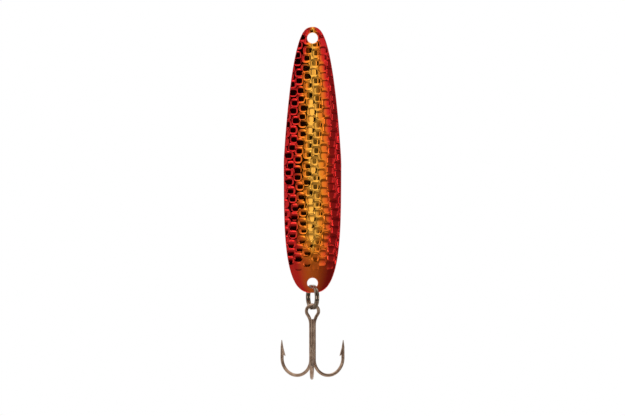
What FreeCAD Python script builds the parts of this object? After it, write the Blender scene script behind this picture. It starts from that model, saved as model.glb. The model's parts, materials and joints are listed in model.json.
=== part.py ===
"""Hammered fishing spoon: a cupped blade, a split ring in its tail and a brazed treble hook.

Millimetres, +Z up. The lure hangs by the line-tie hole in its nose, and the origin is the centre
of that hole. The domed face of the blade looks along -Y, and +X is to the right of that face.
"""

import FreeCAD, Part
import math
import os

Vector = FreeCAD.Vector
ORIGIN = Vector(0, 0, 0)
ACROSS = Vector(1, 0, 0)
BACK = Vector(0, 1, 0)
UP = Vector(0, 0, 1)

# Blade outline, seen square on
blade_length = 95.0           # nose tip to tail tip
blade_width = 20.4            # at the widest place
nose_to_widest = 48.0
nose_fullness = 1.15          # 1 is a straight taper, 2 is an ellipse
tail_fullness = 3.7
side_fullness = 2.76
outline_steps = 16            # points on each quarter of the outline

# Blade sheet
blade_thickness = 0.8
cup_radius = 28.0             # across the blade
straight_below_hole = 8.0     # flat stretch of the profile under the line-tie hole
main_bend_radius = 1000.0
tail_bend_from_tip = 13.0     # the tail turns back faster from here
tail_bend_radius = 130.0

# Blade holes
line_tie_hole_diameter = 3.8
line_tie_hole_from_nose = 4.0
ring_hole_diameter = 3.8
ring_hole_from_tail = 3.5

# Split ring
ring_outer_diameter = 9.0
ring_wire_width = 0.8         # across the ring's flat face
ring_coil_thickness = 0.8
ring_coil_gap = 0.04
ring_edge_radius = 0.25
ring_crossing_angle = 34.0    # where the wire steps from one coil to the other
ring_crossing_middle = 138.0  # up from the ring's front, so the step sits behind the blade
ring_yaw = 23.0               # turn of the ring from edge-on

# Treble hook
hook_wire_diameter = 1.2
shank_gap = 0.05              # filled by the brazing
eye_opening = 3.15
eye_neck_radius = 6.5
hook_length = 26.7            # top of the eye to the bottom of the bends
hook_throw = 12.0             # shank to spear, centre to centre
spear_height = 6.5            # end of the bend to the tip
point_length = 5.4            # tapered part of the spear
point_tip_radius = 0.12
point_lean = 0.12             # tip outward from the middle of the spear
point_shoulder = (0.55, 0.5)  # share of the point's length, and radius there
barb_depth = 1.3              # barb tip from the middle of the spear
barb_thickness = 0.55
third_shank_above_neck = 2.15 # its cut end closes the bottom of the eye
third_hook_heading = -92.0    # the front hook is brazed a little off square
braze_fillet = 0.3
braze_below_neck = 0.3
braze_length = 11.5

# Clearances
ring_on_blade = 0.34          # the ring's corners above the bottom of their hole
eye_on_ring = 0.05            # eye above the corners of the ring


def seat_rise(opening):
    """How much higher the ring's two coils sit in a round opening than a thin wire would."""
    ring_half_width = ring_coil_thickness + ring_coil_gap / 2
    return opening / 2 - math.sqrt((opening / 2) ** 2 - ring_half_width ** 2)


# Places that follow from the sizes
nose_tip_z = line_tie_hole_from_nose
tail_tip_z = nose_tip_z - blade_length
tail_bend_z = tail_tip_z + tail_bend_from_tip
ring_hole_z = tail_tip_z + ring_hole_from_tail
land_top_z = ring_hole_z - ring_hole_diameter / 2
land_middle_z = (land_top_z + tail_tip_z) / 2
ring_outer_radius = ring_outer_diameter / 2
ring_inner_radius = ring_outer_radius - ring_wire_width
ring_middle_z = land_top_z + seat_rise(ring_hole_diameter) + ring_on_blade - ring_inner_radius
wire_radius = hook_wire_diameter / 2
eye_radius = eye_opening / 2 + wire_radius
eye_top_z = ring_middle_z - ring_inner_radius + seat_rise(eye_opening) + eye_on_ring
eye_middle_z = eye_top_z - eye_opening / 2
shank_pitch = hook_wire_diameter + shank_gap
bend_radius = hook_throw / 2
bend_start = hook_length - eye_radius - wire_radius - bend_radius - wire_radius


def profile_at(z):
    """Depth (y) of the middle of the sheet at height z, and how far it leans back in radians."""
    main_start_z = -straight_below_hole
    if z >= main_start_z:
        return 0.0, 0.0
    lean = math.asin((main_start_z - max(z, tail_bend_z)) / main_bend_radius)
    y = main_bend_radius * (1 - math.cos(lean))
    if z >= tail_bend_z:
        return y, lean
    centre_y = y + tail_bend_radius * math.cos(lean)
    centre_z = tail_bend_z + tail_bend_radius * math.sin(lean)
    lean = math.asin((centre_z - z) / tail_bend_radius)
    return centre_y - tail_bend_radius * math.cos(lean), lean


def ring_pivot():
    """Middle of the land below the ring hole, which the ring swings round."""
    return Vector(0, profile_at(land_top_z)[0], land_middle_z)


def blade_outline():
    """Closed outline in the XZ plane: two superellipse halves that meet at the widest place."""
    widest_z = nose_tip_z - nose_to_widest
    quarters = [
        (nose_tip_z - widest_z, nose_fullness),
        (tail_tip_z - widest_z, tail_fullness),
    ]
    right_side = []
    for reach, fullness in quarters:
        quarter = []
        for step in range(outline_steps):
            along = math.cos(math.pi / 2 * step / outline_steps)
            half_width = (1 - along ** fullness) ** (1 / side_fullness) * blade_width / 2
            quarter.append(Vector(half_width, 0, widest_z + reach * along))
        right_side.append(quarter)
    nose_side, tail_side = right_side
    widest = [Vector(blade_width / 2, 0, widest_z)]
    right = nose_side + widest + list(reversed(tail_side))
    left = [Vector(-point.x, 0, point.z) for point in reversed(right[1:-1])]
    curve = Part.BSplineCurve()
    curve.interpolate(right + left, PeriodicFlag=True)
    return Part.Wire([curve.toShape()])


def cupped_section(z):
    """Cross-section of the sheet at height z: a band of a circle whose centre is behind."""
    centre = Vector(0, cup_radius, z)
    reach = math.asin(0.7 * blade_width / cup_radius)
    sides = []
    for radius in (cup_radius + blade_thickness / 2, cup_radius - blade_thickness / 2):
        ends = [
            centre + Vector(turn * radius * math.sin(reach), -radius * math.cos(reach), 0)
            for turn in (-1, 1)
        ]
        sides.append((ends[0], centre - BACK * radius, ends[1]))
    front, rear = sides
    edges = [
        Part.Arc(*front).toShape(),
        Part.LineSegment(front[2], rear[2]).toShape(),
        Part.Arc(*rear).toShape(),
        Part.LineSegment(rear[0], front[0]).toShape(),
    ]
    return Part.Face(Part.Wire(Part.__sortEdges__(edges)))


def blade_sheet():
    """The cupped sheet before its outline is cut: a straight stretch and two bends."""
    above_nose = 2.0
    past_tail = 3.0
    top = cupped_section(nose_tip_z + above_nose)
    straight = top.extrude(UP * -(nose_tip_z + above_nose + straight_below_hole))
    section = cupped_section(-straight_below_hole)
    pieces = [straight]
    bends = [
        (main_bend_radius, -straight_below_hole, tail_bend_z),
        (tail_bend_radius, tail_bend_z, tail_tip_z - past_tail),
    ]
    for radius, start_z, end_z in bends:
        start_y, lean = profile_at(start_z)
        turn = profile_at(end_z)[1] - lean
        centre = Vector(0, start_y + radius * math.cos(lean), start_z + radius * math.sin(lean))
        pieces.append(section.revolve(centre, ACROSS, math.degrees(turn)))
        section.rotate(centre, ACROSS, math.degrees(turn))
    return pieces[0].multiFuse(pieces[1:])


def hole_cutter(z, diameter):
    """A round punch square to the sheet at height z."""
    y, lean = profile_at(z)
    through = Vector(0, math.cos(lean), math.sin(lean))
    reach = 6 * blade_thickness
    return Part.makeCylinder(diameter / 2, 2 * reach, Vector(0, y, z) - through * reach, through)


def spoon_blade():
    depth = blade_width + 2 * profile_at(tail_tip_z)[0]
    outline = Part.Face(blade_outline())
    outline.translate(BACK * -depth)
    prism = outline.extrude(BACK * 2 * depth)
    blade = blade_sheet().common(prism)
    return blade.cut([
        hole_cutter(0, line_tie_hole_diameter),
        hole_cutter(ring_hole_z, ring_hole_diameter),
    ])


def ring_section(angle, height):
    """Rounded section of the ring wire, at an angle in degrees round Z and a height along it."""
    half_width = ring_wire_width / 2 - ring_edge_radius
    half_height = ring_coil_thickness / 2 - ring_edge_radius
    middle = (ring_outer_radius + ring_inner_radius) / 2
    edges = []
    corners = [(1, 1), (-1, 1), (-1, -1), (1, -1)]
    for index, (side, rise) in enumerate(corners):
        centre = Vector(middle + side * half_width, 0, height + rise * half_height)
        start = 90 * index
        points = []
        for degrees in (start, start + 45, start + 90):
            turn = math.radians(degrees)
            points.append(centre + Vector(math.cos(turn), 0, math.sin(turn)) * ring_edge_radius)
        if edges:
            edges.append(Part.LineSegment(last_point, points[0]).toShape())
        else:
            first_point = points[0]
        edges.append(Part.Arc(*points).toShape())
        last_point = points[2]
    edges.append(Part.LineSegment(last_point, first_point).toShape())
    wire = Part.Wire(edges)
    wire.rotate(ORIGIN, UP, angle)
    return wire


def split_ring():
    """Two flat coils of one wire, joined where the wire crosses from one to the other."""
    level = (ring_coil_thickness + ring_coil_gap) / 2
    half_crossing = ring_crossing_angle / 2
    coil_start = ring_crossing_middle + half_crossing
    coil_turn = 360 - ring_crossing_angle
    coils = [
        Part.Face(ring_section(coil_start, side * level)).revolve(ORIGIN, UP, coil_turn)
        for side in (-1, 1)
    ]
    steps = 6
    sections = []
    for step in range(steps + 1):
        share = step / steps
        height = -level * math.cos(math.pi * share)
        angle = ring_crossing_middle + ring_crossing_angle * (share - 0.5)
        sections.append(ring_section(angle, height))
    crossing = Part.makeLoft(sections, True)
    ring = coils[0].multiFuse([coils[1], crossing])
    ring.rotate(ORIGIN, ACROSS, 90)
    ring.rotate(ORIGIN, UP, ring_yaw - 90)
    ring.translate(Vector(0, ring_pivot().y, ring_middle_z))
    return ring


def arc_rod(centre, start, axis, degrees):
    """Round hook wire bent about an axis through centre, from the point start."""
    along = axis.cross(start - centre)
    disc = Part.Face(Part.Wire(Part.makeCircle(wire_radius, start, along)))
    return disc.revolve(centre, axis, degrees)


def hook_leg(shank_top):
    """One hook, its shank on the Z axis from shank_top down and its throw along +X."""
    shank = Part.makeCylinder(wire_radius, shank_top + bend_start, UP * -bend_start)
    bend_centre = Vector(bend_radius, 0, -bend_start)
    bend = arc_rod(bend_centre, UP * -bend_start, BACK * -1, 180)
    spear_foot = Vector(hook_throw, 0, -bend_start)
    tip = spear_foot + UP * spear_height
    tip.x += point_lean
    taper_start = spear_foot + UP * (spear_height - point_length)
    spear = Part.makeCylinder(wire_radius, spear_height - point_length, spear_foot)
    shoulder = taper_start + (tip - taper_start) * point_shoulder[0]
    rings = [
        Part.Wire(Part.makeCircle(wire_radius, taper_start)),
        Part.Wire(Part.makeCircle(point_shoulder[1], shoulder)),
        Part.Wire(Part.makeCircle(point_tip_radius, tip)),
    ]
    point = Part.makeLoft(rings, True, True)
    return shank.multiFuse([bend, spear, point, barb(taper_start)])


def barb(taper_start):
    """Flat pointed barb raised from the inner side of the spear."""
    outline = [
        Vector(point_lean, 0, 0.8 * point_length),
        Vector(-barb_depth, 0, -wire_radius / 2),
        Vector(-wire_radius / 2, 0, wire_radius),
        Vector(wire_radius / 2, 0, wire_radius),
    ]
    corners = [taper_start + point - BACK * barb_thickness / 2 for point in outline]
    plate = Part.Face(Part.makePolygon(corners + corners[:1]))
    return plate.extrude(BACK * barb_thickness)


def placed_leg(leg, shank_place, heading):
    """A copy of leg turned to a compass heading in degrees and set at its shank's place."""
    turned = leg.copy()
    turned.rotate(ORIGIN, UP, heading)
    turned.translate(shank_place)
    return turned


def shank_places():
    """Middles of the three shanks, right and left behind and one in the groove before them."""
    groove = shank_pitch * math.sqrt(3) / 2
    return Vector(shank_pitch / 2, 0, 0), Vector(-shank_pitch / 2, 0, 0), Vector(0, -groove, 0)


def eye_neck_drop():
    """Distance from the middle of the eye down to where its two wires run side by side."""
    reach = eye_radius + eye_neck_radius
    return math.sqrt(reach ** 2 - (shank_pitch / 2 + eye_neck_radius) ** 2)


def double_hook():
    """One wire: a spear, bend and shank, over the eye, and down to the other spear."""
    drop = eye_neck_drop()
    neck_x = shank_pitch / 2 + eye_neck_radius
    meet = math.degrees(math.atan2(drop, neck_x))
    toward_neck = Vector(neck_x, 0, -drop).normalize()
    pieces = [arc_rod(ORIGIN, toward_neck * eye_radius, BACK * -1, 180 + 2 * meet)]
    for side in (1, -1):
        neck_centre = Vector(side * neck_x, 0, -drop)
        shank_top = Vector(side * shank_pitch / 2, 0, -drop)
        pieces.append(arc_rod(neck_centre, shank_top, BACK * side, meet))
    right, left = shank_places()[:2]
    leg = hook_leg(-drop)
    pieces.append(placed_leg(leg, right, 30))
    pieces.append(placed_leg(leg, left, 150))
    return pieces[0].multiFuse(pieces[1:])


def third_hook():
    front = shank_places()[2]
    leg = hook_leg(third_shank_above_neck - eye_neck_drop())
    return placed_leg(leg, front, third_hook_heading)


def braze_seam(wires):
    """Brazing metal between the three shanks, with a small fillet in each outer groove."""
    top = -eye_neck_drop() - braze_below_neck
    corners = [place + UP * top for place in shank_places()]
    core = Part.Face(Part.makePolygon(corners + corners[:1]))
    filled = core.makeOffset2D(braze_fillet).extrude(UP * -braze_length)
    return filled.cut(wires)


def build():
    hook_pieces = {"double_hook": double_hook(), "third_hook": third_hook()}
    hook_pieces["braze_seam"] = braze_seam(list(hook_pieces.values()))
    for piece in hook_pieces.values():
        piece.translate(Vector(0, ring_pivot().y, eye_middle_z))
    return {"spoon_blade": spoon_blade(), "split_ring": split_ring(), **hook_pieces}


def main():
    os.makedirs("parts", exist_ok=True)
    for name, shape in build().items():
        if len(shape.Solids) != 1 or not shape.isValid():
            raise ValueError(name + " is not one sound solid")
        solid = shape.Solids[0]
        solid.exportStep("parts/" + name + ".step")
        box = solid.BoundBox
        print(f"{name}: {solid.Volume:.2f} mm3, z {box.ZMin:.2f} to {box.ZMax:.2f}")


if __name__ == "__main__":
    main()
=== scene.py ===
"""Looks for the hammered spoon lure: a dented, lacquered blade, a split ring and a treble hook.

Metres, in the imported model's own frame: +Z up, the domed face of the blade looks along -Y.
"""

import json
import math

import bpy
import numpy as np
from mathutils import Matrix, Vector, geometry
from mathutils.bvhtree import BVHTree
from mathutils.kdtree import KDTree

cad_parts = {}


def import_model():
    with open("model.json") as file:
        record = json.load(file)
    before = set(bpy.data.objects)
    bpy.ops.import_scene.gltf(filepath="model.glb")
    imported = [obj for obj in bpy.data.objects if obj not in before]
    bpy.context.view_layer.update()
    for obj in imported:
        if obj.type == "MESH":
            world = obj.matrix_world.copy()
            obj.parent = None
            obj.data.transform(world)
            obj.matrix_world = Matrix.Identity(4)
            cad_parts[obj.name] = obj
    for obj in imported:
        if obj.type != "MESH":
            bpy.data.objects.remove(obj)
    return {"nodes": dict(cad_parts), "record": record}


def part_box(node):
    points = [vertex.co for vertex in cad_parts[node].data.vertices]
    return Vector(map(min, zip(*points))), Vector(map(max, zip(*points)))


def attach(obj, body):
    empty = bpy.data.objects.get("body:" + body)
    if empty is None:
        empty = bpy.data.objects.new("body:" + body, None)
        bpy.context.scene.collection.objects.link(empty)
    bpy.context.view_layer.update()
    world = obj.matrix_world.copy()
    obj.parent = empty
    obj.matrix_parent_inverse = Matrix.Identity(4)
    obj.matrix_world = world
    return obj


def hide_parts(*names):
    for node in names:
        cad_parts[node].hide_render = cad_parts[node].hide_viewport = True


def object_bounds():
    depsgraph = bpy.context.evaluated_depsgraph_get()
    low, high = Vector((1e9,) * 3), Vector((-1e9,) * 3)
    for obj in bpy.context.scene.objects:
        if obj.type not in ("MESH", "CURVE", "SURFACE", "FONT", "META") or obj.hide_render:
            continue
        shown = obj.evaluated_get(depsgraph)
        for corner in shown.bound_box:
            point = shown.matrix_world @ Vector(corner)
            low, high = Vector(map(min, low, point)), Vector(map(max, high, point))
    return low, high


MM = 0.001

# Blade mesh
FRONT_STEP = 0.195 * MM        # spacing of the points on each face
BACK_STEP = 0.32 * MM
EDGE_ROUNDING = 0.14 * MM      # tumbled edges of the outline and the holes
EDGE_TURNS = (30, 60, 90)      # degrees round each rounded corner
RING_HOLE_FROM_TAIL = 3.5 * MM
PROBE_ROWS = 90                # places along and across the CAD sheet where its depth is measured
PROBE_COLUMNS = 25
PROBE_START = 10 * MM          # how far outside the sheet each probe starts
ACROSS_POWERS = 3              # terms of the smooth surface fitted to those depths
ALONG_POWERS = 8
OUTLINE_SMOOTHING = 12         # times that each point of the outline moves toward its neighbours

# Hammering
DENT_COLUMN_SPACING = 2.9 * MM
DENT_ROW_SPACING = 3.15 * MM
DENT_SCATTER = 0.50 * MM
DENT_WANDER = 0.9 * MM         # slow sideways drift of the columns
DENT_WANDER_LENGTH = 37 * MM
DENT_RADIUS = 1.60 * MM
DENT_DEPTH = 0.21 * MM
DENT_UNEVENNESS = 0.28         # share by which the dents differ in depth
DENT_ROUNDNESS = 0.30          # share of a ball's mark mixed into each flat-floored dent
DENT_FLOOR_POWER = 3.6         # 1 is a round bowl, higher is a flatter floor
DENT_SQUARENESS = 2.7          # 2 is a round dent, higher is squarer
DENT_FADE_FROM_TAIL = (17 * MM, 5 * MM)
SPARE_COLUMNS = 3              # of dents beyond the outline, so that the grid covers the blade
SPARE_ROWS = 4
BACK_SHARE = 0.5               # how much of each dent shows through on the back
HAMMER_SEED = 7

# Lacquer, linear colours from the middle of the blade to its edges
GOLD = (1.0, 0.45, 0.045, 1)
AMBER = (0.98, 0.28, 0.004, 1)
ORANGE = (0.92, 0.14, 0.001, 1)
RED = (0.74, 0.012, 0.002, 1)
DEEP_RED = (0.62, 0.001, 0.002, 1)
LACQUER_STOPS = (
    (0.0, GOLD), (0.16, GOLD), (0.29, AMBER), (0.50, ORANGE), (0.64, RED), (0.85, DEEP_RED),
)
LACQUER_MIDDLE = 0.03          # the gold stripe sits a little to the right
TAIL_BLUSH = (0.24, 0.08)      # shares of the length between which the tail turns orange-red
TAIL_BLUSH_COLOURS = (0.48, 0.68)      # its middle and edge, on the scale from gold 0 to red 1
NOSE_BLUSH = (0.80, 0.97, 0.10)        # from, to, and how far the red moves in
STRIPE_DRIFT = 0.10            # how far the colours wander from straight stripes
POOLING = 0.06                 # how far the thicker lacquer in each dent turns towards red
POOLING_LEVELS = (0.2, 0.8)    # shares of a dent's depth between which the lacquer thickens
EDGE_CHIPS = (0.60, 0.68)      # levels of the noise between which an edge is chipped to the plating
PLATING = (0.86, 0.60, 0.26, 1)
TARNISH = (0.30, 0.17, 0.06, 1)

# Surfaces. Roughness is 0 for a mirror, and scratches and tarnish add to it.
CLOUD_LEVELS = (0.38, 0.64)    # levels of the noise between which a clouded colour changes
SCRATCH_LEVELS = (0.60, 0.70)  # levels of the noise between which a scratch shows
SCRATCH_DIRECTIONS = (         # turn round Y in radians, and how the noise is drawn out
    (0.5, (1.0, 1.0, 0.06)),
    (-0.9, (0.08, 1.0, 1.0)),
)
LACQUER_ROUGHNESS = 0.085
LACQUER_SCRATCHED = 0.10
LACQUER_RIPPLE = 0.006 * MM
COAT_ROUGHNESS = 0.04
COAT_IOR = 1.32
PLATING_ROUGHNESS = 0.15
PLATING_SCRATCHED = 0.20
PLATING_TARNISHED = 0.25
PLATING_RIPPLE = 0.010 * MM
TARNISH_LEVELS = (0.50, 0.74)  # levels of the noise between which the plating is tarnished
TARNISH_SHARE = 0.6            # how far the tarnish covers the plating
WIRE_PITTING = 0.025 * MM

# Hook and ring finishes
BRONZE_LIGHT = (0.46, 0.315, 0.22, 1)
BRONZE_DARK = (0.31, 0.195, 0.13, 1)
RING_LIGHT = (0.30, 0.235, 0.18, 1)
RING_DARK = (0.15, 0.105, 0.07, 1)
BRAZE_LIGHT = (0.44, 0.29, 0.18, 1)
BRAZE_DARK = (0.26, 0.155, 0.09, 1)
BARE_STEEL = (0.62, 0.58, 0.54, 1)

# Light tent. Directions are in degrees: across, 0 is toward the viewer and + is to the right, and in
# height, 0 is level. A patch is (from, to, softness) across, the same in height, and its brightness.
TENT_HEIGHTS = (-70.0, 50.0)   # the tent brightens from the lower of these to the upper
TENT_LEVELS = (0.50, 1.20)
LEFT_TO_RIGHT = (-40.0, 40.0)  # where a patch with two levels changes from one to the other
LIGHT_PATCHES = (
    ((14.0, 120.0, 10.0), (-60.0, 50.0, 12.0), 0.28),           # grey wall on the right
    ((-120.0, -46.0, 8.0), (-60.0, 40.0, 12.0), 0.75),          # paler wall on the left
    ((8.0, 24.0, 2.0), (-8.0, 50.0, 3.0), 0.82),                # tall soft box
    ((42.0, 54.0, 2.0), (-60.0, 60.0, 4.0), 0.12),              # dark frame round the strip light
    ((43.0, 52.0, 2.0), (-13.0, 14.0, 3.0), 2.0),               # strip light
    ((-60.0, 38.0, 6.0), (-34.0, -8.5, 2.0), (0.50, 0.12)),     # shaded front of the table
    ((-80.0, -18.0, 4.0), (-35.0, -26.0, 1.5), 2.6),            # low lamp on the left
    ((-42.0, -5.5, 2.0), (-8.5, 18.0, 2.0), 0.006),             # dark gap in the tent
    ((-4.5, 1.5, 1.0), (-8.5, 40.0, 3.0), 1.15),                # bright slit
    ((2.0, 8.0, 1.5), (-8.5, 14.0, 2.0), 0.05),                 # narrow dark gap
)

# Camera and floor
CAMERA_DISTANCE = 619 * MM
CAMERA_DROP = 60.6 * MM        # below the line-tie hole
CAMERA_LENS_MM = 100
FLOOR_GAP = 55 * MM
FLOOR_RADIUS = 150 * MM
FLOOR_THICKNESS = 4 * MM
FLOOR_WHITE = (0.86, 0.85, 0.84, 1)
FLOOR_ROUGHNESS = 0.7


# ---------------------------------------------------------------- node helpers

def add(tree, kind, values=None, **settings):
    """A new node with its settings, and its inputs linked or set to plain values."""
    node = tree.nodes.new(kind)
    for name, value in settings.items():
        setattr(node, name, value)
    for socket, value in (values or {}).items():
        plug(tree, node.inputs[socket], value)
    return node


def plug(tree, socket, value):
    """Links value to the socket if it is a socket itself, or else sets it."""
    if isinstance(value, bpy.types.NodeSocket):
        tree.links.new(value, socket)
    else:
        socket.default_value = value


def maths(tree, operation, *values):
    """The result of one operation on numbers or sockets."""
    node = add(tree, "ShaderNodeMath", dict(enumerate(values)), operation=operation)
    return node.outputs[0]


def smooth_step(tree, value, start, end, low=0.0, high=1.0):
    """Turns value into low..high, easing in and out between start and end."""
    limits = {"Value": value, "From Min": start, "From Max": end, "To Min": low, "To Max": high}
    return add(tree, "ShaderNodeMapRange", limits, interpolation_type="SMOOTHSTEP").outputs[0]


def mixed(tree, share, first, second):
    """The first colour where share is 0 and the second where it is 1."""
    node = add(tree, "ShaderNodeMix", data_type="RGBA")
    plug(tree, node.inputs[0], share)
    plug(tree, node.inputs[6], first)
    plug(tree, node.inputs[7], second)
    return node.outputs[2]


def mixed_values(tree, share, first, second):
    """The first number where share is 0 and the second where it is 1."""
    second_part = maths(tree, "MULTIPLY", share, second)
    first_part = maths(tree, "MULTIPLY", maths(tree, "SUBTRACT", 1.0, share), first)
    return maths(tree, "ADD", first_part, second_part)


def ramp(tree, value, stops):
    """The colour at value on a scale of (place, colour) stops."""
    node = add(tree, "ShaderNodeValToRGB", {"Fac": value})
    elements = node.color_ramp.elements
    while len(elements) < len(stops):
        elements.new(0.5)
    for element, (place, colour) in zip(elements, stops):
        element.position = place
        element.color = colour
    return node.outputs[0]


def noise(tree, vector, scale, detail=3.0, roughness=0.5):
    """Cloudy noise between 0 and 1, finer where scale is higher."""
    values = {"Vector": vector, "Scale": scale, "Detail": detail, "Roughness": roughness}
    return add(tree, "ShaderNodeTexNoise", values).outputs[0]


# ---------------------------------------------------------------- shared finish groups

def new_group(name, inputs, outputs):
    """An empty shader group with float or vector inputs and named outputs."""
    tree = bpy.data.node_groups.new(name, "ShaderNodeTree")
    for label, default in inputs:
        kind = "NodeSocketVector" if default is None else "NodeSocketFloat"
        socket = tree.interface.new_socket(label, in_out="INPUT", socket_type=kind)
        if default is not None:
            socket.default_value = default
    for label, kind in outputs:
        tree.interface.new_socket(label, in_out="OUTPUT", socket_type=kind)
    return tree, add(tree, "NodeGroupInput"), add(tree, "NodeGroupOutput")


def metal_grain_group():
    """Fine pits and soft waves of a plated or bronzed surface."""
    inputs = [("Vector", None), ("Pit Size", 900.0), ("Wave Size", 220.0), ("Pits", 0.5)]
    outputs = [("Height", "NodeSocketFloat"), ("Cloud", "NodeSocketFloat")]
    tree, given, result = new_group("metal_grain", inputs, outputs)
    pits = noise(tree, given.outputs["Vector"], given.outputs["Pit Size"], 4.0, 0.65)
    waves = noise(tree, given.outputs["Vector"], given.outputs["Wave Size"], 2.0)
    pitted = maths(tree, "MULTIPLY", pits, given.outputs["Pits"])
    plug(tree, result.inputs["Height"], maths(tree, "ADD", pitted, waves))
    plug(tree, result.inputs["Cloud"], smooth_step(tree, waves, *CLOUD_LEVELS))
    return tree


def scuff_group():
    """Thin scratches in two directions, as a mask."""
    inputs = [("Vector", None), ("Scratch Size", 260.0), ("Amount", 0.4)]
    tree, given, result = new_group("scuffs", inputs, [("Mask", "NodeSocketFloat")])
    marks = None
    for turn, stretch in SCRATCH_DIRECTIONS:
        mapping = add(tree, "ShaderNodeMapping", {"Vector": given.outputs["Vector"]})
        mapping.inputs["Rotation"].default_value = (0.0, turn, 0.0)
        mapping.inputs["Scale"].default_value = stretch
        lines = noise(tree, mapping.outputs[0], given.outputs["Scratch Size"], 5.0, 0.7)
        lines = smooth_step(tree, lines, *SCRATCH_LEVELS)
        marks = lines if marks is None else maths(tree, "MAXIMUM", marks, lines)
    plug(tree, result.inputs["Mask"], maths(tree, "MULTIPLY", marks, given.outputs["Amount"]))
    return tree


def placed(tree, group, vector, **values):
    """A shared group placed in a material, with its own values."""
    node = add(tree, "ShaderNodeGroup", node_tree=group)
    plug(tree, node.inputs["Vector"], vector)
    for label, value in values.items():
        node.inputs[label.replace("_", " ")].default_value = value
    return node


# ---------------------------------------------------------------- materials

def new_material(name):
    """A metal, with its tree, its shader and the socket for places on the object."""
    material = bpy.data.materials.new(name)
    material.use_nodes = True
    tree = material.node_tree
    shader = tree.nodes["Principled BSDF"]
    shader.inputs["Metallic"].default_value = 1.0
    where = add(tree, "ShaderNodeTexCoord").outputs["Object"]
    return material, tree, shader, where


def set_bump(tree, shader, height, distance, strength=1.0):
    """Makes the surface look uneven by height, with distance as the full depth."""
    values = {"Height": height, "Distance": distance, "Strength": strength}
    plug(tree, shader.inputs["Normal"], add(tree, "ShaderNodeBump", values).outputs[0])


def candy_lacquer(groups):
    """Clear gold, orange and red lacquer sprayed over bright plating, under a hard gloss coat."""
    material, tree, shader, where = new_material("candy_lacquer")
    grain = placed(tree, groups["grain"], where, Pit_Size=2600.0, Wave_Size=330.0, Pits=0.12)
    scuffs = placed(tree, groups["scuffs"], where, Scratch_Size=420.0, Amount=0.5)
    sheet = add(tree, "ShaderNodeSeparateXYZ", {0: add(tree, "ShaderNodeUVMap").outputs[0]})
    across = maths(tree, "SUBTRACT", sheet.outputs[0], 0.5 + LACQUER_MIDDLE / 2)
    drift = maths(tree, "SUBTRACT", noise(tree, where, 190.0), 0.5)
    drift = maths(tree, "MULTIPLY", drift, STRIPE_DRIFT)
    from_stripe = maths(tree, "ADD", maths(tree, "MULTIPLY", maths(tree, "ABSOLUTE", across), 2.0), drift)
    nose_red = smooth_step(tree, sheet.outputs[1], NOSE_BLUSH[0], NOSE_BLUSH[1], 0.0, NOSE_BLUSH[2])
    from_stripe = maths(tree, "ADD", from_stripe, nose_red)
    tail_colour = smooth_step(tree, from_stripe, 0.0, 1.0, *TAIL_BLUSH_COLOURS)
    tail_share = smooth_step(tree, sheet.outputs[1], *TAIL_BLUSH)
    from_stripe = mixed_values(tree, tail_share, from_stripe, tail_colour)
    dent = add(tree, "ShaderNodeAttribute", attribute_name="dent").outputs["Fac"]
    pooled = smooth_step(tree, dent, *POOLING_LEVELS, 0.0, POOLING)
    from_stripe = maths(tree, "ADD", from_stripe, pooled)
    colour = ramp(tree, from_stripe, LACQUER_STOPS)
    edge = add(tree, "ShaderNodeAttribute", attribute_name="edge").outputs["Fac"]
    chips = smooth_step(tree, noise(tree, where, 900.0, 5.0), *EDGE_CHIPS)
    chips = maths(tree, "MULTIPLY", edge, chips)
    plug(tree, shader.inputs["Base Color"], mixed(tree, chips, colour, PLATING))
    rough = maths(tree, "MULTIPLY", scuffs.outputs["Mask"], LACQUER_SCRATCHED)
    rough = maths(tree, "ADD", rough, LACQUER_ROUGHNESS)
    plug(tree, shader.inputs["Roughness"], rough)
    shader.inputs["Coat Weight"].default_value = 1.0
    shader.inputs["Coat Roughness"].default_value = COAT_ROUGHNESS
    shader.inputs["Coat IOR"].default_value = COAT_IOR
    set_bump(tree, shader, grain.outputs["Height"], LACQUER_RIPPLE)
    return material


def gold_plating(groups):
    """Bare plating on the hollow side, lightly tarnished and scratched."""
    material, tree, shader, where = new_material("gold_plating")
    grain = placed(tree, groups["grain"], where, Pit_Size=1500.0, Wave_Size=260.0, Pits=0.35)
    scuffs = placed(tree, groups["scuffs"], where, Scratch_Size=300.0, Amount=0.8)
    stain = noise(tree, where, 95.0, 5.0, 0.6)
    stain = smooth_step(tree, stain, *TARNISH_LEVELS, 0.0, TARNISH_SHARE)
    plug(tree, shader.inputs["Base Color"], mixed(tree, stain, PLATING, TARNISH))
    rough = maths(tree, "MULTIPLY", scuffs.outputs["Mask"], PLATING_SCRATCHED)
    rough = maths(tree, "ADD", rough, PLATING_ROUGHNESS)
    rough = maths(tree, "ADD", rough, maths(tree, "MULTIPLY", stain, PLATING_TARNISHED))
    plug(tree, shader.inputs["Roughness"], rough)
    set_bump(tree, shader, grain.outputs["Height"], PLATING_RIPPLE)
    return material


def wire_finish(name, groups, light, dark, roughness, unevenness):
    """Chemically darkened spring or hook wire: cloudy colour, rubbed spots and fine pits."""
    material, tree, shader, where = new_material(name)
    grain = placed(tree, groups["grain"], where, Pit_Size=2600.0, Wave_Size=420.0, Pits=0.4)
    scuffs = placed(tree, groups["scuffs"], where, Scratch_Size=700.0, Amount=0.25)
    cloudy = mixed(tree, grain.outputs["Cloud"], dark, light)
    plug(tree, shader.inputs["Base Color"], mixed(tree, scuffs.outputs["Mask"], cloudy, BARE_STEEL))
    speckle = maths(tree, "MULTIPLY", noise(tree, where, 1400.0, 4.0), unevenness)
    plug(tree, shader.inputs["Roughness"], maths(tree, "ADD", speckle, roughness))
    set_bump(tree, shader, grain.outputs["Height"], WIRE_PITTING, unevenness)
    return material


# ---------------------------------------------------------------- blade

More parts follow.
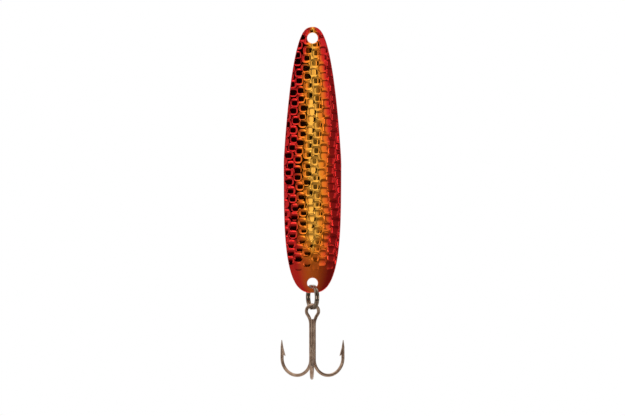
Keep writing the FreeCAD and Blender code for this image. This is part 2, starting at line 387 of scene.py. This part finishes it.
def cad_tree(node):
    mesh = node.data
    corners = [vertex.co for vertex in mesh.vertices]
    return BVHTree.FromPolygons(corners, [list(face.vertices) for face in mesh.polygons])


def surface_terms(x, z, low, high):
    """Even powers across the blade and plain powers along it, for fitting a smooth surface."""
    across = (np.asarray(x) / high.x) ** 2
    along = (np.asarray(z) - low.z) / (high.z - low.z) * 2 - 1
    powers = [(i, j) for i in range(ACROSS_POWERS) for j in range(ALONG_POWERS)]
    return np.stack([across ** i * along ** j for i, j in powers], -1)


def fitted_sheet(node, low, high):
    """Smooth function for the depth of the middle of the CAD sheet, and the sheet's thickness."""
    solid = cad_tree(node)
    places, middles, walls = [], [], []
    for z in np.linspace(low.z, high.z, PROBE_ROWS)[1:-1]:
        for x in np.linspace(low.x, high.x, PROBE_COLUMNS)[1:-1]:
            front, normal = solid.ray_cast(Vector((x, low.y - PROBE_START, z)), Vector((0, 1, 0)))[:2]
            back = solid.ray_cast(Vector((x, high.y + PROBE_START, z)), Vector((0, -1, 0)))[0]
            if front is None or back is None:
                continue
            places.append((x, z))
            middles.append((front.y + back.y) / 2)
            walls.append((back.y - front.y) * abs(normal.y))
    x, z = np.array(places).T
    terms = surface_terms(x, z, low, high)
    weights = np.linalg.lstsq(terms, np.array(middles), rcond=None)[0]
    return lambda x, z: surface_terms(x, z, low, high) @ weights, float(np.median(walls))


def even_loop(points, step):
    """The closed loop through points, smoothed and divided into even steps."""
    points = np.array(points)
    for spacing in (step / 2, step):
        around = np.vstack([points, points[:1]])
        lengths = np.linalg.norm(np.diff(around, axis=0), axis=1)
        run = np.concatenate([[0], np.cumsum(lengths)])
        even = np.linspace(0, run[-1], int(run[-1] / spacing), endpoint=False)
        points = np.stack([np.interp(even, run, around[:, axis]) for axis in (0, 1)], -1)
        for _ in range(OUTLINE_SMOOTHING):
            points = (np.roll(points, 1, 0) + 2 * points + np.roll(points, -1, 0)) / 4
    return points


def signed_area(loop):
    """Twice the area inside a closed loop, positive where the loop runs counter-clockwise."""
    following = np.roll(loop, -1, 0)
    return np.sum(loop[:, 0] * following[:, 1] - following[:, 0] * loop[:, 1])


def outward(loop):
    """Unit normals of a closed counter-clockwise loop, pointing out of it."""
    along = np.roll(loop, -1, 0) - np.roll(loop, 1, 0)
    normals = np.stack([along[:, 1], -along[:, 0]], -1)
    return normals / np.linalg.norm(normals, axis=1)[:, None]


def circle_loop(centre, radius, step):
    count = int(2 * math.pi * radius / step)
    turn = np.linspace(0, 2 * math.pi, count, endpoint=False)
    return centre + radius * np.stack([np.cos(turn), np.sin(turn)], -1)


def flat_tree(points):
    """Finds the nearest of some points of the XZ plane, held as (x, z, 0)."""
    tree = KDTree(len(points))
    for index, point in enumerate(points):
        tree.insert((*point, 0), index)
    tree.balance()
    return tree


def face_points(loops, holes, step):
    """Points of a staggered grid inside the outline, clear of its edge and the holes."""
    outline, normals = loops[0], outward(loops[0])
    edge, rim = flat_tree(np.vstack(loops)), flat_tree(outline)
    low, high = outline.min(0), outline.max(0)
    rows = np.arange(low[1], high[1], step * math.sqrt(3) / 2)
    points = []
    for row, z in enumerate(rows):
        for x in np.arange(low[0] + (row % 2) * step / 2, high[0], step):
            nearest, index, _ = rim.find((x, z, 0))
            inside = (nearest[0] - x) * normals[index][0] + (nearest[1] - z) * normals[index][1] > 0
            in_hole = any(math.hypot(x - centre[0], z - centre[1]) < radius for centre, radius in holes)
            if inside and not in_hole and edge.find((x, z, 0))[2] > 0.6 * step:
                points.append((x, z))
    return points


def triangulated(loops, inner):
    """Delaunay triangles of the outline loop, the hole loops and the points between them."""
    corners = [Vector(point) for point in np.vstack(loops)] + [Vector(point) for point in inner]
    edges, first = [], 0
    for loop in loops:
        edges += [(first + i, first + (i + 1) % len(loop)) for i in range(len(loop))]
        first += len(loop)
    result = geometry.delaunay_2d_cdt(corners, edges, [], 0, 1e-9)
    return np.array([tuple(v) for v in result[0]]), [tuple(face) for face in result[2]]


class Sheet:
    """Points and faces of the closed sheet, gathered patch by patch."""

    def __init__(self):
        self.plan, self.offset, self.hammer, self.edge = [], [], [], []
        self.faces, self.back_side = [], []
        self.count = 0

    def add_points(self, plan, offset, hammer, edge):
        """Adds points that lie offset from the sheet's middle, and returns the first one's number."""
        self.plan.append(plan)
        for values, value in ((self.offset, offset), (self.hammer, hammer), (self.edge, edge)):
            values.append(np.full(len(plan), value))
        self.count += len(plan)
        return self.count - len(plan)

    def add_faces(self, faces, on_back):
        self.faces += faces
        self.back_side += [on_back] * len(faces)


def add_side(sheet, loops, holes, step, offset):
    """Adds one face of the sheet and returns the number of its first point, the outline's first."""
    on_back = offset > 0
    plan, triangles = triangulated(loops, face_points(loops, holes, step))
    triangles = np.array(triangles)
    middles = plan[triangles].mean(1)
    clear = [np.linalg.norm(middles - centre, axis=1) > radius for centre, radius in holes]
    triangles = triangles[np.all(clear, axis=0)]
    if on_back:
        triangles = triangles[:, ::-1]
    first = sheet.add_points(plan, offset, BACK_SHARE if on_back else 1.0, 0.0)
    sheet.add_faces((triangles + first).tolist(), on_back)
    return first


def add_rounded_edge(sheet, loop, normals, front, back, half):
    """Joins the two faces along one loop, with a quarter turn at each corner."""
    turns = [math.radians(turn) for turn in EDGE_TURNS]
    corner = [(math.sin(turn), half + EDGE_ROUNDING * (math.cos(turn) - 1)) for turn in turns]
    profile = [(out, -offset) for out, offset in corner] + corner[::-1]
    rings = [np.arange(front, front + len(loop))]
    for out, offset in profile:
        hammer = 1 + (BACK_SHARE - 1) * (offset + half) / (2 * half)
        first = sheet.add_points(loop + normals * EDGE_ROUNDING * out, offset, hammer, 1.0)
        rings.append(np.arange(first, first + len(loop)))
    rings.append(np.arange(back, back + len(loop)))
    for ring, following in zip(rings, rings[1:]):
        quads = zip(ring, np.roll(ring, -1), np.roll(following, -1), following)
        sheet.add_faces([tuple(int(i) for i in quad) for quad in quads], False)


def sheet_mesh(node, holes):
    """Closed mesh of the undented blade: two faces and the rounded edges between them."""
    low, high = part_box(node.name)
    depth, thickness = fitted_sheet(node, low, high)
    half = thickness / 2
    flat = [Vector((v.co.x, v.co.z)) for v in node.data.vertices]
    outline = even_loop([flat[i] for i in geometry.convex_hull_2d(flat)], FRONT_STEP)
    if signed_area(outline) < 0:
        outline = outline[::-1]
    normals = [outward(outline)]
    loops = [outline - normals[0] * EDGE_ROUNDING]
    grown_holes = [(centre, radius + EDGE_ROUNDING) for centre, radius in holes]
    for centre, radius in grown_holes:
        loops.append(circle_loop(centre, radius, FRONT_STEP))
        normals.append(-outward(loops[-1]))
    sheet = Sheet()
    front = add_side(sheet, loops, grown_holes, FRONT_STEP, -half)
    back = add_side(sheet, loops, grown_holes, BACK_STEP, half)
    for loop, loop_normals in zip(loops, normals):
        add_rounded_edge(sheet, loop, loop_normals, front, back, half)
        front += len(loop)
        back += len(loop)
    return finished_sheet(sheet, depth, outline)


def finished_sheet(sheet, depth, outline):
    """The sheet's points set square to its middle surface, with its attributes and UV map."""
    x, z = np.vstack(sheet.plan).T
    offset = np.concatenate(sheet.offset)
    tiny = 0.05 * MM
    slope_x = (depth(x + tiny, z) - depth(x - tiny, z)) / (2 * tiny)
    slope_z = (depth(x, z + tiny) - depth(x, z - tiny)) / (2 * tiny)
    square = np.stack([-slope_x, np.ones(len(x)), -slope_z], -1)
    square /= np.linalg.norm(square, axis=1)[:, None]
    corners = np.stack([x, depth(x, z), z], -1) + square * offset[:, None]
    mesh = bpy.data.meshes.new("blade_sheet")
    mesh.from_pydata(corners.tolist(), [], sheet.faces)
    for name, domain, values in (
        ("hammer", "POINT", np.concatenate(sheet.hammer)),
        ("edge", "POINT", np.concatenate(sheet.edge)),
        ("back_side", "FACE", np.array(sheet.back_side)),
    ):
        attribute = mesh.attributes.new(name, "FLOAT", domain)
        attribute.data.foreach_set("value", values.astype(np.float32))
    right = outline[outline[:, 0] > 0]
    right = right[np.argsort(right[:, 1])]
    half_width = np.maximum(np.interp(z, right[:, 1], right[:, 0]), MM)
    along = (z - z.min()) / (z.max() - z.min())
    sheet_uv = np.stack([0.5 + 0.5 * np.clip(x / half_width, -1, 1), along], -1)
    used = np.zeros(len(mesh.loops), np.int32)
    mesh.loops.foreach_get("vertex_index", used)
    mesh.uv_layers.new(name="sheet").data.foreach_set("uv", sheet_uv[used].astype(np.float32).ravel())
    mesh.polygons.foreach_set("use_smooth", np.ones(len(mesh.polygons), bool))
    mesh.validate()
    return mesh


def new_hammer_tree():
    """An empty geometry tree with the sizes of the hammering as its inputs."""
    tree = bpy.data.node_groups.new("hammered_dents", "GeometryNodeTree")
    floats = [
        "Column Spacing", "Row Spacing", "Scatter", "Wander", "Wander Length",
        "Dent Radius", "Dent Depth", "Unevenness", "Roundness", "Floor Power", "Squareness",
        "Middle Height", "Fade Start", "Fade End",
    ]
    sockets = [("Sheet", "Geometry"), ("Columns", "Int"), ("Rows", "Int"), ("Seed", "Int")]
    sockets += [(name, "Float") for name in floats]
    sockets += [("Front Finish", "Material"), ("Back Finish", "Material")]
    for name, kind in sockets:
        tree.interface.new_socket(name, in_out="INPUT", socket_type="NodeSocket" + kind)
    tree.interface.new_socket("Blade", in_out="OUTPUT", socket_type="NodeSocketGeometry")
    return tree, add(tree, "NodeGroupInput").outputs


def stored(tree, name):
    """The sheet's stored number of that name."""
    return add(tree, "GeometryNodeInputNamedAttribute", {"Name": name}, data_type="FLOAT").outputs[0]


def at_point(tree, points, index, value, kind):
    """What value is at the point of points that index gives."""
    sample = add(tree, "GeometryNodeSampleIndex", {"Geometry": points}, data_type=kind)
    plug(tree, sample.inputs["Value"], value)
    plug(tree, sample.inputs["Index"], index)
    return sample.outputs[0]


def dent_shape(tree, given, apart):
    """1 in the middle of a dent with a flat floor and squarish walls, 0 past its rim."""
    apart = add(tree, "ShaderNodeSeparateXYZ", {0: apart})
    reaches = []
    for side in (0, 2):
        reach = maths(tree, "DIVIDE", maths(tree, "ABSOLUTE", apart.outputs[side]), given["Dent Radius"])
        reaches.append(maths(tree, "POWER", reach, given["Squareness"]))
    share = maths(tree, "ADD", *reaches)
    share = maths(tree, "POWER", share, maths(tree, "DIVIDE", 1.0, given["Squareness"]))
    share = maths(tree, "MINIMUM", share, 1.0)
    turn = maths(tree, "MULTIPLY", maths(tree, "POWER", share, given["Floor Power"]), math.pi)
    pan = maths(tree, "MULTIPLY", maths(tree, "ADD", maths(tree, "COSINE", turn), 1.0), 0.5)
    ball = maths(tree, "SUBTRACT", 1.0, maths(tree, "MULTIPLY", share, share))
    return mixed_values(tree, given["Roundness"], pan, ball)


def hammer_tree():
    """Presses a dent into the sheet at each point of a staggered, scattered grid."""
    tree, given = new_hammer_tree()
    centres = dent_centres(tree, given)
    position = add(tree, "GeometryNodeInputPosition").outputs[0]
    across, _, height = add(tree, "ShaderNodeSeparateXYZ", {0: position}).outputs
    flat = add(tree, "ShaderNodeCombineXYZ", {"X": across, "Z": height}).outputs[0]
    nearest = add(tree, "GeometryNodeSampleNearest", {"Geometry": centres, "Sample Position": flat})
    nearest = nearest.outputs[0]
    centre = at_point(tree, centres, nearest, position, "FLOAT_VECTOR")
    apart = add(tree, "ShaderNodeVectorMath", {0: flat, 1: centre}, operation="SUBTRACT").outputs[0]
    strike = smooth_step(tree, height, given["Fade End"], given["Fade Start"])
    struck = maths(tree, "MULTIPLY", dent_shape(tree, given, apart), strike)
    chance = add(tree, "FunctionNodeRandomValue", {"Min": -1.0, "Max": 1.0, "Seed": given["Seed"]})
    weight = at_point(tree, centres, nearest, chance.outputs[1], "FLOAT")
    uneven = maths(tree, "ADD", maths(tree, "MULTIPLY", weight, given["Unevenness"]), 1.0)
    depth = maths(tree, "MULTIPLY", struck, given["Dent Depth"])
    for part in (uneven, stored(tree, "hammer")):
        depth = maths(tree, "MULTIPLY", depth, part)
    offset = add(tree, "ShaderNodeCombineXYZ", {"Y": depth}).outputs[0]
    blade = add(tree, "GeometryNodeSetPosition", {"Geometry": given["Sheet"], "Offset": offset})
    blade = add(tree, "GeometryNodeStoreNamedAttribute", {"Geometry": blade.outputs[0], "Name": "dent"})
    blade.data_type = "FLOAT"
    plug(tree, blade.inputs["Value"], struck)
    blade = add(tree, "GeometryNodeRealizeInstances", {"Geometry": blade.outputs[0]})
    on_back = {"A": stored(tree, "back_side"), "B": 0.5}
    on_back = add(tree, "FunctionNodeCompare", on_back, operation="GREATER_THAN").outputs[0]
    for finish, chosen in ((given["Front Finish"], True), (given["Back Finish"], on_back)):
        values = {"Geometry": blade.outputs[0], "Material": finish, "Selection": chosen}
        blade = add(tree, "GeometryNodeSetMaterial", values)
    add(tree, "NodeGroupOutput", {"Blade": blade.outputs[0]})
    return tree


def dent_centres(tree, given):
    """A flat grid of points in the XZ plane, every other column half a row lower, all scattered."""
    sizes = {"Vertices X": given["Columns"], "Vertices Y": given["Rows"]}
    for axis, count, spacing in (("X", "Columns", "Column Spacing"), ("Y", "Rows", "Row Spacing")):
        gaps = maths(tree, "SUBTRACT", given[count], 1.0)
        sizes["Size " + axis] = maths(tree, "MULTIPLY", gaps, given[spacing])
    grid = add(tree, "GeometryNodeMeshGrid", sizes)
    index = add(tree, "GeometryNodeInputIndex").outputs[0]
    column = maths(tree, "FLOOR", maths(tree, "DIVIDE", index, given["Rows"]))
    odd = maths(tree, "MODULO", column, 2.0)
    place = add(tree, "ShaderNodeSeparateXYZ", {0: add(tree, "GeometryNodeInputPosition").outputs[0]})
    stagger = maths(tree, "MULTIPLY", maths(tree, "MULTIPLY", odd, given["Row Spacing"]), 0.5)
    height = maths(tree, "SUBTRACT", place.outputs[1], stagger)
    height = maths(tree, "ADD", height, given["Middle Height"])
    turn = maths(tree, "MULTIPLY", maths(tree, "DIVIDE", height, given["Wander Length"]), 2 * math.pi)
    drift = maths(tree, "MULTIPLY", maths(tree, "SINE", turn), given["Wander"])
    aside = maths(tree, "ADD", place.outputs[0], drift)
    standing = add(tree, "ShaderNodeCombineXYZ", {"X": aside, "Z": height}).outputs[0]
    chance = add(tree, "FunctionNodeRandomValue", data_type="FLOAT_VECTOR")
    chance.inputs[0].default_value = (-1, 0, -1)
    chance.inputs[1].default_value = (1, 0, 1)
    plug(tree, chance.inputs["Seed"], given["Seed"])
    shift = {0: chance.outputs[0], "Scale": given["Scatter"]}
    shift = add(tree, "ShaderNodeVectorMath", shift, operation="SCALE").outputs[0]
    moved = add(tree, "ShaderNodeVectorMath", {0: standing, 1: shift}, operation="ADD").outputs[0]
    points = {"Geometry": grid.outputs[0], "Position": moved}
    return add(tree, "GeometryNodeSetPosition", points).outputs[0]


def plain_mesh(mesh, tree, values, name):
    """The mesh that a geometry tree makes of mesh, as an object of its own with no modifier."""
    rough = bpy.data.objects.new(name + "_blank", mesh)
    bpy.context.scene.collection.objects.link(rough)
    modifier = rough.modifiers.new(name, "NODES")
    modifier.node_group = tree
    for socket in tree.interface.items_tree:
        if socket.in_out == "INPUT" and socket.name in values:
            modifier[socket.identifier] = values[socket.name]
    seen = rough.evaluated_get(bpy.context.evaluated_depsgraph_get())
    made = bpy.data.meshes.new_from_object(seen)
    made.name = name
    rough.modifiers.remove(modifier)
    bpy.data.objects.remove(rough)
    piece = bpy.data.objects.new(name, made)
    bpy.context.scene.collection.objects.link(piece)
    return piece


def hammered_blade(frame, front_finish, back_finish):
    """The dented sheet that stands for the CAD blade, lacquered in front and plated behind."""
    node = frame["nodes"]["spoon_blade"]
    low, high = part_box("spoon_blade")
    tie = frame["record"]["mounts"][0]
    radius = tie["dims"]["r_mm"] * MM
    tie_centre = np.array([tie["pos_m"][0], tie["pos_m"][2]])
    ring_centre = np.array([0.0, low.z + RING_HOLE_FROM_TAIL])
    mesh = sheet_mesh(node, [(tie_centre, radius), (ring_centre, radius)])
    spread = high - low
    values = {
        "Columns": int(spread.x / DENT_COLUMN_SPACING) + SPARE_COLUMNS,
        "Rows": int(spread.z / DENT_ROW_SPACING) + SPARE_ROWS,
        "Column Spacing": DENT_COLUMN_SPACING,
        "Row Spacing": DENT_ROW_SPACING,
        "Scatter": DENT_SCATTER,
        "Wander": DENT_WANDER,
        "Wander Length": DENT_WANDER_LENGTH,
        "Dent Radius": DENT_RADIUS,
        "Dent Depth": DENT_DEPTH,
        "Unevenness": DENT_UNEVENNESS,
        "Roundness": DENT_ROUNDNESS,
        "Floor Power": DENT_FLOOR_POWER,
        "Squareness": DENT_SQUARENESS,
        "Middle Height": (low.z + high.z) / 2,
        "Fade Start": low.z + DENT_FADE_FROM_TAIL[0],
        "Fade End": low.z + DENT_FADE_FROM_TAIL[1],
        "Seed": HAMMER_SEED,
        "Front Finish": front_finish,
        "Back Finish": back_finish,
    }
    blade = plain_mesh(mesh, hammer_tree(), values, "hammered_blade")
    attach(blade, "blade")
    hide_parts("spoon_blade")


# ---------------------------------------------------------------- studio

def studio_world():
    """A white light tent with brighter and darker patches, and plain white behind the lure."""
    world = bpy.data.worlds.new("light_tent")
    bpy.context.scene.world = world
    world.use_nodes = True
    tree = world.node_tree
    tree.nodes.clear()
    direction = add(tree, "ShaderNodeTexCoord").outputs["Generated"]
    east, north, up = add(tree, "ShaderNodeSeparateXYZ", {0: direction}).outputs
    toward_front = maths(tree, "MULTIPLY", north, -1.0)
    azimuth = maths(tree, "DEGREES", maths(tree, "ARCTAN2", east, toward_front))
    elevation = maths(tree, "DEGREES", maths(tree, "ARCSINE", up))

    def window(value, low, high, soft):
        """1 between low and high, 0 outside, with a soft change."""
        rising = smooth_step(tree, value, low - soft, low + soft)
        falling = smooth_step(tree, value, high - soft, high + soft, 1.0, 0.0)
        return maths(tree, "MULTIPLY", rising, falling)

    light = smooth_step(tree, elevation, *TENT_HEIGHTS, *TENT_LEVELS)
    for across, height, level in LIGHT_PATCHES:
        share = maths(tree, "MULTIPLY", window(azimuth, *across), window(elevation, *height))
        if isinstance(level, tuple):
            level = smooth_step(tree, azimuth, *LEFT_TO_RIGHT, *level)
        light = mixed_values(tree, share, light, level)
    seen = add(tree, "ShaderNodeLightPath").outputs["Is Camera Ray"]
    strength = mixed_values(tree, seen, light, 1.0)
    background = add(tree, "ShaderNodeBackground", {"Color": (1, 1, 1, 1), "Strength": strength})
    add(tree, "ShaderNodeOutputWorld", {"Surface": background.outputs[0]})


def pale_floor(low):
    """A plain pale disc below the hanging lure."""
    bpy.ops.mesh.primitive_cylinder_add(
        vertices=128, radius=FLOOR_RADIUS, depth=FLOOR_THICKNESS, location=(0, 0, low.z - FLOOR_GAP))
    floor = bpy.context.object
    floor.name = "floor"
    material = bpy.data.materials.new("pale_floor")
    material.use_nodes = True
    shader = material.node_tree.nodes["Principled BSDF"]
    shader.inputs["Base Color"].default_value = FLOOR_WHITE
    shader.inputs["Roughness"].default_value = FLOOR_ROUGHNESS
    floor.data.materials.append(material)


def camera():
    """Straight in front of the middle of the lure, with a long lens."""
    data = bpy.data.cameras.new("camera")
    data.lens = CAMERA_LENS_MM
    data.clip_start = 0.01
    viewer = bpy.data.objects.new("camera", data)
    viewer.location = (0, -CAMERA_DISTANCE, -CAMERA_DROP)
    viewer.rotation_euler = (math.pi / 2, 0, 0)
    bpy.context.scene.collection.objects.link(viewer)
    bpy.context.scene.camera = viewer


# ---------------------------------------------------------------- the lure

def finish_node(node, material):
    """Gives a CAD node its material and leaves its mesh as it is."""
    node.data.materials.clear()
    node.data.materials.append(material)


def main():
    """Dresses the loaded lure, then lights it and sets the camera."""
    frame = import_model()
    cad_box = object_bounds()
    bpy.context.scene.view_settings.view_transform = "Standard"
    groups = {"grain": metal_grain_group(), "scuffs": scuff_group()}
    hammered_blade(frame, candy_lacquer(groups), gold_plating(groups))
    bronze = wire_finish("hook_bronze", groups, BRONZE_LIGHT, BRONZE_DARK, roughness=0.10, unevenness=0.05)
    nickel = wire_finish("ring_black_nickel", groups, RING_LIGHT, RING_DARK, roughness=0.03, unevenness=0.06)
    braze = wire_finish("brazing_metal", groups, BRAZE_LIGHT, BRAZE_DARK, roughness=0.20, unevenness=0.20)
    nodes = frame["nodes"]
    for name, material in (
        ("double_hook", bronze), ("third_hook", bronze), ("split_ring", nickel), ("braze_seam", braze),
    ):
        finish_node(nodes[name], material)
    studio_world()
    pale_floor(cad_box[0])
    camera()


main()
